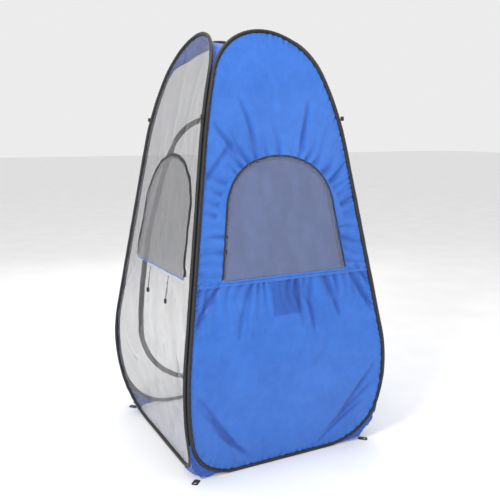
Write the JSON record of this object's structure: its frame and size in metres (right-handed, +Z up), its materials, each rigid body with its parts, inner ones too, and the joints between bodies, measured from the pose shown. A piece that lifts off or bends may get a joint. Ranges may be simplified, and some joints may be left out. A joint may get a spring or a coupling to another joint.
{
  "type": "ice fishing shelter",
  "caption": "Tall square pop-up fishing shelter: spring-hoop walls in blue fabric and clear film, arched mesh windows with flaps, a zipped film door and a dished roof",
  "frame": {"origin": "on the ground at the centre of the floor", "axes": "+Z up; the front wall faces -Y, the left wall -X, the door wall +Y and the right wall +X"},
  "size_m": [1.016, 1.016, 1.9],
  "materials": {
    "spring_steel": "zinc-plated spring wire",
    "crimp_metal": "crimped tube",
    "sleeve_fabric": "ribbed black polyester sleeve",
    "blue_fabric": "coated plain-weave polyester",
    "clear_film": "clear flexible film",
    "window_mesh": "fine knitted mesh",
    "piping": "folded binding tape",
    "zip_tape": "coil zipper tape",
    "zip_metal": "cast slider",
    "roof_fabric": "coated plain-weave polyester",
    "gusset_fabric": "coated plain-weave polyester, crumpled",
    "webbing": "woven webbing",
    "pocket_fabric": "plain-weave polyester",
    "ribbon": "woven ribbon",
    "toggle_plastic": "moulded toggle",
    "elastic": "braided elastic",
    "flap_fabric": "coated plain-weave polyester"
  },
  "bodies": {
    "front_wall": {"hoop_wire_front": "spring_steel", "wire_ferrule_front": "crimp_metal", "hoop_sleeve_front": "sleeve_fabric", "gusset_front_right": "gusset_fabric", "peg_tab_front_right": "webbing", "guy_tab_front_right": "webbing", "upper_fabric_front": "blue_fabric", "lower_fabric_front": "blue_fabric", "window_mesh_front": "window_mesh", "window_piping_front": "piping", "window_zip_front": "zip_tape", "roof": "roof_fabric", "inner_pocket": "pocket_fabric"},
    "right_wall": {"hoop_wire_right": "spring_steel", "wire_ferrule_right": "crimp_metal", "hoop_sleeve_right": "sleeve_fabric", "gusset_back_right": "gusset_fabric", "peg_tab_back_right": "webbing", "guy_tab_back_right": "webbing", "upper_fabric_right": "blue_fabric", "lower_fabric_right": "blue_fabric", "window_mesh_right": "window_mesh", "window_piping_right": "piping", "window_zip_right": "zip_tape"},
    "back_wall": {"hoop_wire_back": "spring_steel", "wire_ferrule_back": "crimp_metal", "hoop_sleeve_back": "sleeve_fabric", "gusset_back_left": "gusset_fabric", "peg_tab_back_left": "webbing", "guy_tab_back_left": "webbing", "film_wall_back": "clear_film", "door_zip": "zip_tape"},
    "left_wall": {"hoop_wire_left": "spring_steel", "wire_ferrule_left": "crimp_metal", "hoop_sleeve_left": "sleeve_fabric", "gusset_front_left": "gusset_fabric", "peg_tab_front_left": "webbing", "guy_tab_front_left": "webbing", "film_wall_left": "clear_film", "window_mesh_left": "window_mesh", "window_piping_left": "piping", "window_zip_left": "zip_tape", "tie_ribbons": "ribbon", "tie_toggles": "toggle_plastic", "tie_loop_a": "elastic", "tie_loop_b": "elastic"},
    "flap_front": {"window_flap_front": "flap_fabric"},
    "slider_front": {"zip_slider_front": "zip_metal"},
    "pull_front": {"zip_pull_front": "zip_metal"},
    "flap_right": {"window_flap_right": "flap_fabric"},
    "slider_right": {"zip_slider_right": "zip_metal"},
    "pull_right": {"zip_pull_right": "zip_metal"},
    "flap_left": {"window_flap_left": "clear_film"},
    "slider_left": {"zip_slider_left": "zip_metal"},
    "pull_left": {"zip_pull_left": "zip_metal"},
    "door": {"door_panel": "clear_film"},
    "door_slider_upper": {"door_slider_upper": "zip_metal"},
    "door_pull_upper": {"door_pull_upper": "zip_metal"},
    "door_slider_lower": {"door_slider_lower": "zip_metal"},
    "door_pull_lower": {"door_pull_lower": "zip_metal"}
  },
  "joints": [
    {"name": "fold_front_left", "type": "hinge", "parent": "front_wall", "child": "left_wall", "pos_m": [-0.45123, -0.45123, 0.25], "axis": [0.1296, 0.1296, 0.9831], "range_deg": [-30, 0], "deforming": ["roof", "gusset_front_left", "gusset_front_right", "gusset_back_left", "gusset_back_right"]},
    {"name": "fold_front_right", "type": "hinge", "parent": "front_wall", "child": "right_wall", "pos_m": [0.52619, -0.52619, 0.29641], "axis": [-0.1427, 0.1427, 0.9794], "range_deg": [-30.9, 0]},
    {"name": "fold_back_left", "type": "hinge", "parent": "left_wall", "child": "back_wall", "pos_m": [-0.52619, 0.52619, 0.29641], "axis": [0.1427, -0.1427, 0.9794], "range_deg": [0, 28.2]},
    {"name": "flap_swing_front", "type": "hinge", "parent": "front_wall", "child": "flap_front", "pos_m": [0, -0.43813, 0.85249], "axis": [-1, 0, 0], "range_deg": [0, 145]},
    {"name": "zip_slide_front", "type": "slide", "parent": "front_wall", "child": "slider_front", "axis": [0.153, 0.1546, 0.9761], "range_m": [0, 0.17]},
    {"name": "pull_swing_front", "type": "hinge", "parent": "slider_front", "child": "pull_front", "pos_m": [-0.2948, -0.42349, 0.90336], "axis": [0.9882, -0.0239, -0.1511], "range_deg": [0, 110]},
    {"name": "flap_swing_right", "type": "hinge", "parent": "right_wall", "child": "flap_right", "pos_m": [0.43813, 0, 0.85249], "axis": [0, -1, 0], "range_deg": [0, 145]},
    {"name": "zip_slide_right", "type": "slide", "parent": "right_wall", "child": "slider_right", "axis": [-0.1546, 0.153, 0.9761], "range_m": [0, 0.17]},
    {"name": "pull_swing_right", "type": "hinge", "parent": "slider_right", "child": "pull_right", "pos_m": [0.42349, -0.2948, 0.90336], "axis": [0.0239, 0.9882, -0.1511], "range_deg": [0, 110]},
    {"name": "flap_swing_left", "type": "hinge", "parent": "left_wall", "child": "flap_left", "pos_m": [-0.43813, 0, 0.85249], "axis": [0, 1, 0], "range_deg": [0, 145]},
    {"name": "zip_slide_left", "type": "slide", "parent": "left_wall", "child": "slider_left", "axis": [0.1546, -0.153, 0.9761], "range_m": [0, 0.17]},
    {"name": "pull_swing_left", "type": "hinge", "parent": "slider_left", "child": "pull_left", "pos_m": [-0.42349, 0.2948, 0.90336], "axis": [-0.0239, -0.9882, -0.1511], "range_deg": [0, 110]},
    {"name": "door_swing", "type": "hinge", "parent": "back_wall", "child": "door", "pos_m": [0.2146, 0.49782, 0.49578], "axis": [0, 0.0912, -0.9958], "range_deg": [0, 110]},
    {"name": "door_zip_slide_upper", "type": "slide", "parent": "back_wall", "child": "door_slider_upper", "axis": [0.2067, -0.1531, 0.9664], "range_m": [0, 0.15]},
    {"name": "door_pull_swing_upper", "type": "hinge", "parent": "door_slider_upper", "child": "door_pull_upper", "pos_m": [-0.2993, 0.39689, 1.07131], "axis": [-0.9784, -0.0323, 0.2042], "range_deg": [0, 110]},
    {"name": "door_zip_slide_lower", "type": "slide", "parent": "back_wall", "child": "door_slider_lower", "axis": [0.1938, -0.1535, 0.969], "range_m": [-0.15, 0]},
    {"name": "door_pull_swing_lower", "type": "hinge", "parent": "door_slider_lower", "child": "door_pull_lower", "pos_m": [-0.30754, 0.40323, 1.03132], "axis": [-0.981, -0.0303, 0.1914], "range_deg": [0, 110]}
  ],
  "couplings": [
    {"joint": "fold_front_right", "follows": "fold_front_left", "ratio": 1.03},
    {"joint": "fold_back_left", "follows": "fold_front_left", "ratio": -0.94}
  ]
}
